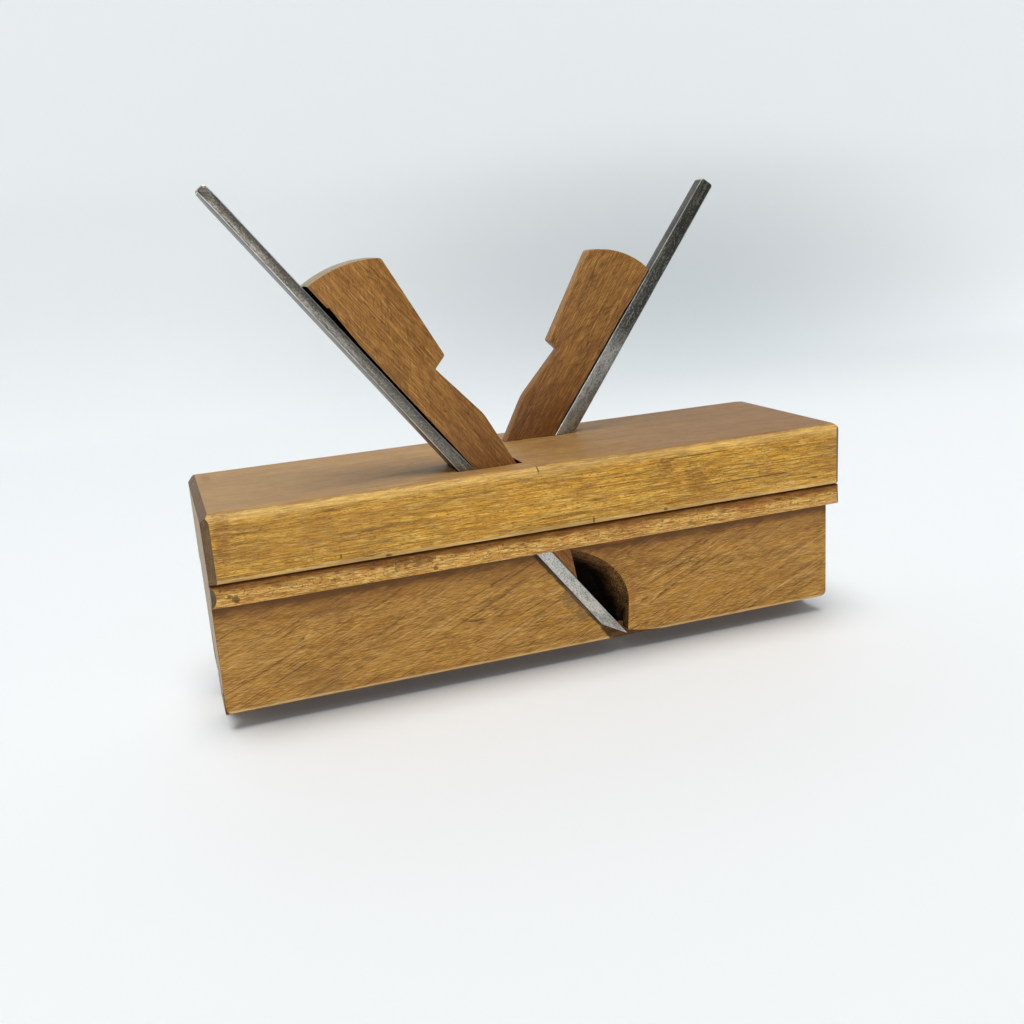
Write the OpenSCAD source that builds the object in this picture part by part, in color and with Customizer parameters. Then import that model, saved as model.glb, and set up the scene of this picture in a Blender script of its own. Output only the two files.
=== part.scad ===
// Double tongue and groove plane: one beech stock with two skewed-apart cutters.
// X runs along the stock, Y across it and Z up. The origin is at the middle of the
// fence's lower face. The tongue set leans to -X and lies at -Y. The groove set
// leans to +X and lies at +Y. Each cutter and its wedge slide along their own bed.

/* [Stock] */
// Length of the stock
stock_l = 240; // [200:5:300]
// Height from the fence's face to the top
stock_h = 80; // [76:1:95]
// Width of the upper block
stock_w = 73.2; // [70:0.2:84]
// How far each side of the lower block stands in from the upper block
side_recess = 10.9; // [9:0.1:11]
// Rounding of the two long top edges
top_round = 3.5; // [1:0.5:6]
// Chamfer round the ends of the upper block
end_chamfer = 2.7; // [0.5:0.1:5]

/* [Side moulding] */
// Drop from the top to the quirk
quirk_drop = 24; // [18:0.5:28]
// Height of the quirk's slot
quirk_h = 1.1; // [0.6:0.1:2]
// Depth of the quirk's slot
quirk_deep = 4.5; // [2:0.5:7]
// Height of the bead below the quirk
bead_h = 8.2; // [6:0.2:10]
// Radius of the bead's round face
bead_r = 5.5; // [5.1:0.1:9]
// How far the bead stands in from the upper block
bead_inset = 0.9; // [0:0.1:2]

/* [Fence and soles] */
// Width of the fence between the two soles
fence_w = 20; // [16:0.2:20]
// Depth of the fence below the soles
fence_deep = 6.6; // [6:0.1:9]
// Small rounding of the lower edges
edge_round = 0.8; // [0.3:0.1:1.5]
// Worn rounding where the ends meet the soles
sole_round = 2.6; // [1:0.1:4]
// Distance from the fence to the tongue, and to the groove
fence_gap = 5.1; // [4.5:0.1:5.3]
// Width of the tongue's relief in the near sole
relief_w = 5.7; // [5:0.1:6]
// Depth of the tongue's relief
relief_deep = 7; // [6:0.5:10]

/* [Tongue iron] */
// Bed angle of the tongue iron
tongue_bed = 52.5; // [48:0.5:56]
// Where its face crosses the top of the stock, along X
tongue_x = -24.4; // [-28:0.2:-22]
// Width of the tongue iron
tongue_w = 15.4; // [14.6:0.1:15.6]
// Thickness of the blade in the stock
tongue_t = 4.9; // [3.6:0.1:5.1]
// How much its face and its back fall away up to the upper end
tongue_thins = [0.7, 0.7]; // [0:0.1:1.5]
// Reach of the cutting edge below the top of the stock, along the bed
tongue_reach = 91.3; // [89:0.1:91.5]
// Length above the top of the stock, along the bed
tongue_rise = 128.8; // [100:0.2:135]
// Width of the slot between its two cutting cheeks
slot_w = 5.5; // [4.5:0.1:5.7]
// Depth of that slot
slot_deep = 12; // [8:1:20]
// Clipped corners of its upper end: width and length
end_clip = [2.5, 6]; // [0.5:0.5:7]

/* [Groove iron] */
// Bed angle of the groove iron
groove_bed = 54.2; // [50:0.2:57]
// Where its face crosses the top of the stock, along -X
groove_x = -21.9; // [-26:0.2:-20]
// Width of the groove iron
groove_w = 5.5; // [5:0.1:6]
// Thickness of the blade in the stock
groove_t = 6.9; // [5:0.1:7.1]
// How much its face and its back fall away up to the upper end
groove_thins = [0.4, 0.9]; // [0:0.1:1.5]
// Reach of the cutting edge below the top of the stock, along the bed
groove_reach = 97.4; // [96:0.1:97.6]
// Length above the top of the stock, along the bed
groove_rise = 117.3; // [95:1:130]

/* [Both irons] */
// Bevel angle at the cutting edge
bevel = 25; // [20:1:30]
// Height over the stock at which their faces have fallen away, tongue and groove
falls_by = [22, 100]; // [10:1:105]
// Small bevel round the upper end
end_bevel = 0.7; // [0.2:0.1:1.2]

/* [Wedges] */
// Taper between a wedge's front and its iron
wedge_taper = 10; // [8:0.5:12]
// Slack between the mortise and the wedge's front at the top, tongue and groove
mortise_slack = [2.1, 0.1]; // [0.1:0.1:2.4]
// Width of the tongue wedge
tongue_wedge_w = 15.1; // [14:0.1:15.4]
// Width of the groove wedge
groove_wedge_w = 5.3; // [4.6:0.1:5.5]
// Depth, front to back, where the tongue wedge enters the stock
tongue_wedge_seat = 12.3; // [11:0.1:14]
// The same for the groove wedge
groove_wedge_seat = 17.2; // [14:0.1:18]
// Shoulder of the tongue wedge: depth and height along the bed
tongue_shoulder = [19.2, 37]; // [16:0.1:45]
// Shoulder of the groove wedge
groove_shoulder = [22, 30.2]; // [16:0.1:45]
// Fullest part of the tongue wedge's neck
tongue_neck = [15.7, 12.4]; // [5:0.1:25]
// Fullest part of the groove wedge's neck
groove_neck = [19.5, 6.8]; // [5:0.1:25]
// Front corner of the tongue wedge's head
tongue_head = [25, 75.5]; // [20:0.1:80]
// Front corner of the groove wedge's head
groove_head = [26.4, 68]; // [20:0.1:80]
// Height of the tongue wedge's back corner
tongue_back = 85; // [70:0.5:90]
// Height of the groove wedge's back corner
groove_back = 75.6; // [65:0.1:90]
// Crown of the domed heads, tongue and groove
head_dome = [2.2, 3.1]; // [1:0.1:4]
// Notch under the tongue wedge's head: depth and slant
tongue_notch = [5.6, 1.2]; // [0.5:0.1:6]
// Notch under the groove wedge's head
groove_notch = [5.2, 0.9]; // [0.5:0.1:6]
// Lowest point of the tongue wedge's tip, below the top of the stock
tongue_wedge_tip = 59.5; // [52:0.5:62]
// The same for the groove wedge
groove_wedge_tip = 66; // [58:0.5:68]
// Hollow of the wedges' backs, tongue and groove
back_hollow = [0.1, 0.4]; // [0.1:0.1:1]
// Splinter lost from the tongue wedge's back arris: depth above and under its step
splinter = [0.5, 1.1]; // [0.3:0.1:1.5]
// Where the splinter starts, and where its step is, along the bed
splinter_at = [58, 75.3]; // [50:0.1:80]
// How far the splinter reaches across the wedge
splinter_w = 9; // [3:0.5:10]
// Height at which the groove wedge's back touches its iron again
back_touch = 62; // [50:1:68]

/* [Escapements] */
// Front wall of the escapement, from the middle of the stock
mouth_x = 32.4; // [32:0.1:36]
// How far the front wall leans in down to the sole
mouth_lean = 1.2; // [0:0.1:2]
// Where the arch of the roof leaves the bead: distance along the stock, height
arch_start = [9, 44.7]; // [4:0.1:46]
// Slope of the arch at its start
arch_slope = 14; // [5:1:30]
// Height at which the arch meets the front wall
arch_foot = 21; // [16:0.5:26]
// How full the arch is, at its start and over the front wall
arch_pull = [14.4, 10.5]; // [6:0.1:16]
// Radius of the roof at the inner end
throat_r = 9; // [6:0.5:10]
// Centre of the roof at the inner end: distance along the stock, height
throat_at = [15.8, 23.5]; // [14:0.1:26]
// Length and height of the worn lip in front of the tongue iron's mouth
worn_lip = [14, 2.2]; // [0.5:0.1:20]

/* [Skate] */
// Thickness of the skate plates
skate_t = 4.6; // [3.5:0.1:5]
// Depth of groove that the skate allows, below the sole
skate_drop = 5.8; // [4:0.1:5.9]
// How deep the plates are let into the sole
skate_in = 14; // [11:0.5:16]
// Rounding at the outer lower corners
skate_round = 4; // [1:0.5:5]
// Screw positions along -X on the front plate
front_screws = [52, 106]; // [44:1:112]
// Screw positions along -X on the rear plate
rear_screws = [-14, -104]; // [-110:1:-10]
// Height of the screws over the sole
screw_up = 7; // [5:0.5:9]
// Diameter of a screw's head
screw_head = 6.4; // [5:0.1:7]
// Diameter of a screw's shank
screw_d = 3; // [2.4:0.1:3.4]
// Length of a screw
screw_l = 18; // [14:1:20]

/* [Hidden] */
$fn = 64;
gap = 0.05;
over = 1;
sole_z = fence_deep;
quirk_z = stock_h - quirk_drop;
bead_z = quirk_z - bead_h;
core_w = stock_w - 2 * side_recess;
bead_w = stock_w - 2 * bead_inset;
fence_y = fence_w / 2;
core_y = core_w / 2;
cut_mid = fence_y + fence_gap + groove_w / 2;
tongue_in = core_y - tongue_w;
groove_in = fence_y + fence_gap;
wedge_slope = tan(wedge_taper);
seat_u = -10;
tip_cut = 10;
clear_u = 40;
below_tip = [2, 8];
corner_r = [2.4, 1.6, 4];
touch_run = 5;
step_slant = 0.6;
throat_sole = 3;
throat_drop = 12;
arch_steps = 14;
under_bead = 0.4;
worn_edge = 0.35;
skate_inset = 0.8;
skate_l = stock_l / 2 - skate_inset;
skate_start = 0.6;
skate_lean = 4.4;
skate_under = 3;
screw_slot = [0.8, 0.9];
screw_tip = 0.6;
screw_head_l = (screw_head - screw_d) / 2;
beech = "#c08f4a";
dark_beech = "#a06a35";
steel = "#85878a";
dark_steel = "#5f6164";

// Places a side outline, drawn with X away from the bed and Y up the bed, in the
// stock. It is extruded outwards from y_in.
module on_bed(x, y_in, bed)
    translate([x, -y_in, stock_h]) rotate([90, 0, 0]) rotate([0, 0, 90 - bed]) children();

// Places a side outline, drawn with X along the stock and Y up, from y_in outwards.
module on_side(y_in) translate([0, -y_in, 0]) rotate([90, 0, 0]) children();

// Turns the tongue side's layout into the groove side's.
module groove_side() rotate([0, 0, 180]) children();

// Points of a cubic curve.
function curve(a, b, c, d, steps) =
    [for (i = [0:steps]) let (t = i / steps, s = 1 - t)
        s * s * s * a + 3 * s * s * t * b + 3 * s * t * t * c + t * t * t * d];

// Depth of a wedge's front at height u along the bed.
function seat_v(seat, u) = seat + wedge_slope * (u - seat_u);

function unit(v) = v / norm(v);

// A corner p between a and b, rounded over a length r along both sides.
function soft(a, p, b, r) =
    let (p0 = p + r * unit(a - p), p1 = p + r * unit(b - p)) curve(p0, p, p, p1, 6);

// What a square corner loses when it is rounded. The corner points to +X +Y.
module corner_waste(r)
    difference() {
        square(r + over);
        circle(r);
    }

module both_sides() {
    children();
    mirror([1, 0]) children();
}

// Cross-section of the stock: X across, Y up.
module stock_section()
    difference() {
        union() {
            translate([-stock_w / 2, quirk_z]) square([stock_w, quirk_drop]);
            translate([-core_w / 2, sole_z]) square([core_w, stock_h - sole_z - over]);
            translate([-fence_y, 0]) square([fence_w, sole_z + over]);
            both_sides() bead_section();
        }
        both_sides() {
            translate([stock_w / 2 - top_round, stock_h - top_round]) corner_waste(top_round);
            translate([stock_w / 2 - edge_round, quirk_z + quirk_h / 2 + edge_round])
                mirror([0, 1]) corner_waste(edge_round);
            translate([stock_w / 2 - quirk_deep, quirk_z - quirk_h / 2])
                square([quirk_deep + over, quirk_h]);
            translate([core_y - edge_round, sole_z + edge_round])
                mirror([0, 1]) corner_waste(edge_round);
            translate([fence_y - edge_round, edge_round])
                mirror([0, 1]) corner_waste(edge_round);
        }
        translate([-cut_mid - relief_w / 2, sole_z - over]) square([relief_w, relief_deep + over]);
        translate([cut_mid - skate_t / 2 - gap, sole_z - over])
            square([skate_t + 2 * gap, skate_in + gap + over]);
    }

module bead_section()
    intersection() {
        translate([0, bead_z]) square([bead_w / 2, bead_h]);
        union() {
            translate([0, bead_z]) square([bead_w / 2 - bead_r, bead_h]);
            translate([bead_w / 2 - bead_r, bead_z + bead_h / 2]) circle(bead_r);
        }
    }

module stock_blank()
    intersection() {
        rotate([90, 0, 90]) linear_extrude(stock_l, center = true) stock_section();
        linear_extrude(stock_h) chamfered_plan();
        on_side(-stock_w / 2 - over) linear_extrude(stock_w + 2 * over) chamfered_side();
    }

module chamfered_plan() {
    x = stock_l / 2;
    y = stock_w / 2;
    c = end_chamfer;
    polygon([[-x + c, -y], [x - c, -y], [x, -y + c], [x, y - c],
             [x - c, y], [-x + c, y], [-x, y - c], [-x, -y + c]]);
}

module chamfered_side() {
    x = stock_l / 2;
    c = end_chamfer;
    polygon([[-x, 0], [x, 0], [x, stock_h - c], [x - c, stock_h],
             [-x + c, stock_h], [-x, stock_h - c]]);
}

// The tapered slot for an iron and its wedge. It is slack in front of the wedge at
// the top, and closes on it towards the tip.
module mortise(x, y_in, w, bed, t, seat, slack, tip) {
    grip_u = -tip + tip_cut;
    grip_v = seat_v(seat, grip_u) + gap;
    slope = (seat + slack - grip_v) / (seat_u - grip_u);
    on_bed(x, y_in - gap, bed) linear_extrude(w + 3 * gap)
        polygon([[-t - gap, clear_u], [grip_v + slope * (clear_u - grip_u), clear_u],
                 [grip_v, grip_u], [gap, -tip - below_tip[0]], [gap, -tip - below_tip[1]],
                 [-t - gap, -tip - below_tip[1]]]);
}

// The flared opening that throws the shaving out to the side. Its roof and its
// front wall draw in from the side face to the throat.
module escapement(x, y_in, y_out, bed, t) {
    down_bed = [1 / tan(bed), -1];
    back = t / sin(bed) + gap;
    foot = [x - back, stock_h] + (stock_h - sole_z + over) * down_bed;
    top = [x - back, stock_h] + (stock_h - bead_z + under_bead) * down_bed;
    sole_at = [mouth_x - mouth_lean, sole_z - over];
    hull() {
        on_side(y_out) linear_extrude(over) polygon(concat(arch(), [sole_at, foot, top]));
        on_side(y_in) linear_extrude(gap) {
            translate(throat_at) circle(throat_r, $fn = 40);
            polygon([top + throat_drop * down_bed, foot, sole_at, sole_at + [0, over + throat_sole]]);
        }
    }
}

// The arch at the side face, from under the bead down to the front wall.
function arch() =
    let (foot = [mouth_x, arch_foot], away = [cos(arch_slope), -sin(arch_slope)])
        curve(arch_start, arch_start + arch_pull[0] * away, foot + [0, arch_pull[1]], foot, arch_steps);

// Keeps an escapement in front of the iron's bed and under the bead.
module clear_of_bed(x, y_in, bed, t)
    intersection() {
        children();
        on_bed(x, y_in - over, bed) linear_extrude(stock_w)
            translate([-t - gap, -2 * stock_h]) square([3 * stock_h, 3 * stock_h]);
    }

module worn_sole_ends()
    for (turn = [0, 180]) rotate(turn)
        on_side(fence_y + gap) linear_extrude(core_w / 2 - fence_y + over)
            both_sides() translate([stock_l / 2 - sole_round, sole_z + sole_round])
                mirror([0, 1]) corner_waste(sole_round);

module worn_mouth_lip() {
    inside = mouth_x - mouth_lean - over;
    on_side(fence_y + gap) linear_extrude(core_w / 2 - fence_y + over)
        polygon([[inside, sole_z - over], [inside, sole_z + worn_lip[1]],
                 [mouth_x, sole_z + worn_lip[1]],
                 [mouth_x + worn_lip[0] * worn_edge, sole_z + worn_lip[1] * 0.5],
                 [mouth_x + worn_lip[0], sole_z], [mouth_x + worn_lip[0], sole_z - over]]);
}

module stock()
    color(beech) difference() {
        stock_blank();
        mortise(tongue_x, tongue_in, tongue_w, tongue_bed, tongue_t,
                tongue_wedge_seat, mortise_slack[0], tongue_wedge_tip);
        groove_side()
            mortise(groove_x, groove_in, groove_w, groove_bed, groove_t,
                    groove_wedge_seat, mortise_slack[1], groove_wedge_tip);
        clear_of_bed(tongue_x, tongue_in - gap, tongue_bed, tongue_t)
            escapement(tongue_x, tongue_in - gap, core_y, tongue_bed, tongue_t);
        groove_side() clear_of_bed(groove_x, groove_in - gap, groove_bed, groove_t)
            escapement(groove_x, groove_in - gap, core_y, groove_bed, groove_t);
        worn_mouth_lip();
        worn_sole_ends();
        each_screw() screw_hole();
    }

// Side outline of an iron: parallel in the stock and thinner towards the upper end,
// so that it slides free of the wedge. Its face has fallen away at the height falls.
module iron_outline(t, thins, falls, reach, rise)
    polygon([[0, -reach], [0, 0], [-thins[0], falls], [-thins[0], rise - end_bevel],
             [-thins[0] - end_bevel, rise], [thins[1] - t + end_bevel, rise],
             [thins[1] - t, rise - end_bevel], [-t, 0], [-t, -reach + t / tan(bevel)]]);

// The tongue iron seen along its thickness: X across it from its inner edge, Y up.
module tongue_iron_face()
    difference() {
        translate([0, -tongue_reach - over]) square([tongue_w, tongue_reach + tongue_rise + 2 * over]);
        translate([cut_mid - tongue_in - slot_w / 2, -tongue_reach - 2 * over])
            square([slot_w, slot_deep + 2 * over]);
        for (side = [[0, 1], [tongue_w, -1]])
            polygon([[side[0] - side[1] * over, tongue_rise - end_clip[1]],
                     [side[0], tongue_rise - end_clip[1]],
                     [side[0] + side[1] * end_clip[0], tongue_rise],
                     [side[0] + side[1] * end_clip[0], tongue_rise + 2 * over],
                     [side[0] - side[1] * over, tongue_rise + 2 * over]]);
    }

module tongue_iron()
    color(steel) intersection() {
        on_bed(tongue_x, tongue_in, tongue_bed) linear_extrude(tongue_w)
            iron_outline(tongue_t, tongue_thins, falls_by[0], tongue_reach, tongue_rise);
        on_bed(tongue_x, tongue_in, tongue_bed) translate([over - 2 * tongue_t, 0, 0])
            rotate([0, -90, 0]) mirror([0, 0, 1]) linear_extrude(3 * tongue_t) tongue_iron_face();
    }

module groove_iron()
    color(dark_steel) groove_side() on_bed(groove_x, groove_in, groove_bed)
        linear_extrude(groove_w)
            iron_outline(groove_t, groove_thins, falls_by[1], groove_reach, groove_rise);

// Side outline of a wedge: up its back, over the domed head, and down by the
// shoulder, the notch and the full neck to the seat and the tip.
module wedge_outline(back_line, seat, shoulder, notch, neck, head, back, dome, tip) {
    inner = shoulder - notch;
    foot = [seat, seat_u];
    chord = head - [gap, back];
    dome_r = norm(chord) * norm(chord) / (8 * dome) + dome / 2;
    rise_dir = unit([-chord[1], chord[0]]);
    dome_at = (head + [gap, back]) / 2 - rise_dir * (dome_r - dome);
    tangent = unit([dome_at[1] - head[1], head[0] - dome_at[0]]);
    tall = back + 2 * dome;
    crest = head + tangent * (tall - head[1]) / tangent[1];
    intersection() {
        polygon(concat(
            [[gap, -tip], [gap, 0]], back_line, [[gap, tall], crest],
            soft(crest, head, shoulder, corner_r[0]),
            soft(head, shoulder, inner, corner_r[1]),
            [inner], soft(inner, neck, foot, corner_r[2]), [foot],
            [[seat_v(seat, -tip + tip_cut), -tip + tip_cut]]));
        union() {
            translate(dome_at) circle(dome_r, $fn = 180);
            translate([-stock_h, head[1] - corner_r[0] - 2 * stock_h]) square(2 * stock_h);
        }
    }
}

module tongue_wedge()
    color(dark_beech) difference() {
        on_bed(tongue_x, core_y - tongue_wedge_w - gap, tongue_bed)
            linear_extrude(tongue_wedge_w)
                wedge_outline([[gap + back_hollow[0], -seat_u], [gap + back_hollow[0], tongue_back]],
                              tongue_wedge_seat, tongue_shoulder, tongue_notch, tongue_neck,
                              tongue_head, tongue_back, head_dome[0], tongue_wedge_tip);
        lost_splinter();
    }

// The sliver that has broken from the near back arris of the tongue wedge.
module lost_splinter()
    on_bed(tongue_x, core_y - gap - splinter_w, tongue_bed) linear_extrude(splinter_w + over)
        polygon([[-over, splinter_at[0] - over], [gap, splinter_at[0]],
                 [gap + splinter[1], splinter_at[1]],
                 [gap + splinter[0], splinter_at[1] + step_slant],
                 [gap + splinter[0], tongue_back + stock_h], [-over, tongue_back + stock_h]]);

module groove_wedge()
    color(dark_beech)
        groove_side() on_bed(groove_x, cut_mid - groove_wedge_w / 2, groove_bed)
            linear_extrude(groove_wedge_w)
                wedge_outline([[gap + back_hollow[1], -seat_u],
                               [gap + back_hollow[1], back_touch - touch_run],
                               [gap, back_touch]],
                              groove_wedge_seat, groove_shoulder, groove_notch, groove_neck,
                              groove_head, groove_back, head_dome[1], groove_wedge_tip);

// A skate plate between two places along the stock, with its outer lower corner round.
module skate_outline(x0, x1)
    difference() {
        translate([x0, sole_z - skate_drop]) square([x1 - x0, skate_drop + skate_in]);
        translate([skate_l - skate_round, sole_z - skate_drop + skate_round])
            mirror([0, 1]) corner_waste(skate_round);
        translate([-skate_l + skate_round, sole_z - skate_drop + skate_round])
            rotate(180) corner_waste(skate_round);
    }

module skate_plate() on_side(cut_mid - skate_t / 2) linear_extrude(skate_t) children();

// The front plate ends just before the cutter, and leans forward below the sole.
module front_skate()
    color(dark_steel) groove_side() difference() {
        skate_plate() difference() {
            skate_outline(mouth_x + skate_start, skate_l);
            polygon([[mouth_x, sole_z], [mouth_x + skate_start, sole_z],
                     [mouth_x + skate_lean, sole_z - skate_drop - gap], [mouth_x, -over]]);
        }
        each_screw_here(front_screws) screw_clearance();
    }

// The rear plate's end is cut to the bed angle and carries the iron near its edge.
module rear_skate()
    color(dark_steel) groove_side() difference() {
        skate_plate() skate_outline(-skate_l, mouth_x + skate_under);
        on_bed(groove_x, cut_mid - skate_t, groove_bed) linear_extrude(2 * skate_t)
            translate([-groove_t - gap, -2 * stock_h]) square([stock_h, 3 * stock_h]);
        each_screw_here(rear_screws) screw_clearance();
    }

// Puts a screw's shape at each place. A screw points inwards along its own +Z from
// the side face.
module each_screw_here(places)
    for (x = places) translate([x, -core_y, sole_z + screw_up]) rotate([-90, 0, 0]) children();

module each_screw() groove_side() each_screw_here(concat(front_screws, rear_screws)) children();

module screw_clearance() cylinder(h = screw_l, d = screw_d + 4 * gap);

module screw_hole() {
    translate([0, 0, -over]) cylinder(h = over + gap, d = screw_head + 4 * gap);
    cylinder(h = screw_head_l + 2 * gap, d1 = screw_head + 4 * gap, d2 = screw_d + 4 * gap);
    cylinder(h = screw_l + 2 * gap, d = screw_d + 4 * gap);
}

module skate_screw()
    difference() {
        union() {
            translate([0, 0, gap]) cylinder(h = screw_head_l, d1 = screw_head, d2 = screw_d);
            cylinder(h = screw_l - screw_d, d = screw_d);
            translate([0, 0, screw_l - screw_d]) cylinder(h = screw_d, d1 = screw_d, d2 = screw_tip);
        }
        translate([-screw_head, -screw_slot[0] / 2, -over])
            cube([2 * screw_head, screw_slot[0], screw_slot[1] + over]);
        translate([-screw_head, -screw_head, -over]) cube([2 * screw_head, 2 * screw_head, over + gap]);
    }

module skate_screws() color(steel) each_screw() skate_screw();

stock();
tongue_iron();
groove_iron();
tongue_wedge();
groove_wedge();
front_skate();
rear_skate();
skate_screws();
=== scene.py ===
"""Looks of a double tongue and groove plane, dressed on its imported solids."""

import logging
import math
from dataclasses import dataclass, replace
from enum import Enum, IntEnum

import bmesh
import bpy
from mathutils import Matrix, Vector, noise


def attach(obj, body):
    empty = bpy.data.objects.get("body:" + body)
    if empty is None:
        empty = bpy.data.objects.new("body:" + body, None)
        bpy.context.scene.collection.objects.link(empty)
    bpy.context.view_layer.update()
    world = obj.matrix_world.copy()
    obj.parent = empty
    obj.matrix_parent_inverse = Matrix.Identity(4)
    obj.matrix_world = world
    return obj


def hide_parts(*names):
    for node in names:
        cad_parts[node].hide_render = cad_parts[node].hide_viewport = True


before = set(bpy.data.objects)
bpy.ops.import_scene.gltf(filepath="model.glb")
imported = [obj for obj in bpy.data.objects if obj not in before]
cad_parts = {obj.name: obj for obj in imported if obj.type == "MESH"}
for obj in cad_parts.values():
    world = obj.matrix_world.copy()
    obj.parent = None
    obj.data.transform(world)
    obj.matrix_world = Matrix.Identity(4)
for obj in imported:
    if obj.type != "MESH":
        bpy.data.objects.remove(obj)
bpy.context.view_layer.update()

log = logging.getLogger("plane")
MM = 0.001
Socket = bpy.types.NodeSocket
Material = bpy.types.Material
Mesh = bmesh.types.BMesh
Colour = tuple[float, float, float, float]
Sizes = tuple[float, float, float]
Pair = tuple[float, float]
Spot = tuple[float, float, float, float, float]

# Places on the stock in mm, as in the part
END_X = 120.0
TOP_Z = 80.0
QUIRK_Z = 55.9
BEAD_FOOT_Z = 47.7
SOLE_Z = 6.6
UPPER_Y = 36.6
BEAD_Y = 35.7
LOWER_Y = 25.7
TOP_ARRIS = TOP_Z - UPPER_Y

# Ways to cross the stock, as weights of x, |y| and z
RIGHTWARDS = (1.0, 0.0, 0.0)
LEFTWARDS = (-1.0, 0.0, 0.0)
INWARDS = (0.0, -1.0, 0.0)
UPWARDS = (0.0, 0.0, 1.0)
DOWNWARDS = (0.0, 0.0, -1.0)
OVER_THE_TOP = (0.0, -1.0, 1.0)

# Numbers of the sockets that share a name on Blender's nodes
OBJECT_PLACE = 3
VECTOR_VALUE = 1
VECTOR_SCALE = 3
MIX_FIRST = 6
MIX_SECOND = 7
MIX_RESULT = 2

# Setting of a Map Range node that eases in and out
SOFTLY = {"interpolation_type": "SMOOTHSTEP"}


def linear(code: str) -> Colour:
    """Turn an sRGB hex colour into Blender's linear colour.

    Args:
        code: The colour as "#rrggbb".

    Returns:
        Linear red, green and blue, and an alpha of 1.
    """
    parts = [int(code[i : i + 2], 16) / 255 for i in (1, 3, 5)]
    red, green, blue = (c / 12.92 if c <= 0.04045 else ((c + 0.055) / 1.055) ** 2.4 for c in parts)
    return (red, green, blue, 1.0)


@dataclass(frozen=True)
class BedPlane:
    """The plane that an iron lies on.

    It holds the x in mm where the iron's face meets the top, the slope in degrees, and the way
    that it leans: 1 towards +X, -1 towards -X.
    """

    at_x: float
    slope: float
    lean: float

    @property
    def turn(self) -> float:
        """Turn about Y, in degrees, that lays fibres along the bed along X."""
        return self.lean * self.slope

    def away(self) -> Vector:
        """Unit vector from the iron towards its wedge."""
        angle = math.radians(self.slope)
        return Vector((-self.lean * math.sin(angle), 0.0, math.cos(angle)))

    def up(self) -> Vector:
        """Unit vector up along the bed."""
        angle = math.radians(self.slope)
        return Vector((self.lean * math.cos(angle), 0.0, math.sin(angle)))

    def level(self, axis: Vector, reach: float) -> float:
        """Weighted sum in mm at a reach along an axis from where the iron's face meets the top."""
        return axis.dot(Vector((self.at_x, 0.0, TOP_Z))) + reach


TONGUE_BED = BedPlane(at_x=-24.4, slope=52.5, lean=-1.0)
GROOVE_BED = BedPlane(at_x=21.9, slope=54.2, lean=1.0)


class Graph:
    """A material and its node tree, with one way to add a node."""

    def __init__(self, name: str) -> None:
        """Start an empty material.

        Args:
            name: The material's name.
        """
        self.material = bpy.data.materials.new(name)
        self.material.use_nodes = True
        self.tree = self.material.node_tree
        self.tree.nodes.clear()

    def add(self, kind: str, inputs: dict | None = None, out: int = 0, **settings: object) -> Socket | None:
        """Add a node with its settings and links.

        Args:
            kind: The node's type after "ShaderNode".
            inputs: A socket's name or number, and its value or the socket that feeds it.
            out: Which output to hand back.
            settings: The node's own settings.

        Returns:
            The chosen output socket; an output node has none.
        """
        node = self.tree.nodes.new("ShaderNode" + kind)
        for name, value in settings.items():
            setattr(node, name, value)
        for key, value in (inputs or {}).items():
            if isinstance(value, Socket):
                self.tree.links.new(value, node.inputs[key])
            else:
                node.inputs[key].default_value = value
        return node.outputs[out] if node.outputs else None


@dataclass(frozen=True)
class Canvas:
    """What a coat is laid on: the graph, the place on the piece in mm and the grain's turn."""

    graph: Graph
    place: Socket
    turn: float

    def cells(self, sizes: Sizes, turn: float, detail: float, seed: float) -> Socket:
        """Noise whose cells have these sizes in mm, along and across the grain.

        Args:
            sizes: Cell size along X, Y and Z after the turn.
            turn: Turn of the pattern from the grain, in degrees.
            detail: Number of finer octaves.
            seed: Where the pattern is cut from the noise.

        Returns:
            The noise, around 0.5.
        """
        where = self.place
        angle = math.radians(self.turn + turn)
        if angle:
            where = self.graph.add("VectorRotate", {"Vector": where, "Angle": angle}, rotation_type="Y_AXIS")
        cut = {0: where, 1: [1 / size for size in sizes], 2: (seed, seed, seed)}
        where = self.graph.add("VectorMath", cut, operation="MULTIPLY_ADD")
        pattern = {"Vector": where, "Scale": 1.0, "Detail": detail, "Roughness": 0.55}
        return self.graph.add("TexNoise", pattern)

    def unrest(self, sizes: Sizes, detail: float, seed: float, swing: float) -> Socket:
        """Noise round 0, to make an edge uneven.

        Args:
            sizes: Cell size in mm along X, Y and Z.
            detail: Number of finer octaves.
            seed: Where the pattern is cut from the noise.
            swing: What the noise is multiplied by.

        Returns:
            The noise, around 0.
        """
        cells = self.cells(sizes, 0.0, detail, seed)
        centred = self.graph.add("Math", {0: cells, 1: 0.5}, operation="SUBTRACT")
        return self.graph.add("Math", {0: centred, 1: swing}, operation="MULTIPLY")


@dataclass(frozen=True)
class Streaks:
    """A coat of streaks or patches.

    The size is one cell in mm along and across the grain. The coat opens between two levels of
    the noise. A height above 0 raises it, and one below 0 cuts it in.
    """

    colour: str
    size: Pair
    opens: Pair
    share: float
    turn: float = 0.0
    detail: float = 3.0
    seed: float = 0.0
    height: float = 0.0

    def mask(self, canvas: Canvas) -> Socket:
        """Where the coat lies, from 0 to 1."""
        along, across = self.size
        start, full = self.opens
        cells = canvas.cells((along, across, across), self.turn, self.detail, self.seed)
        return canvas.graph.add("MapRange", {"Value": cells, "From Min": start, "From Max": full}, **SOFTLY)


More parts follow.
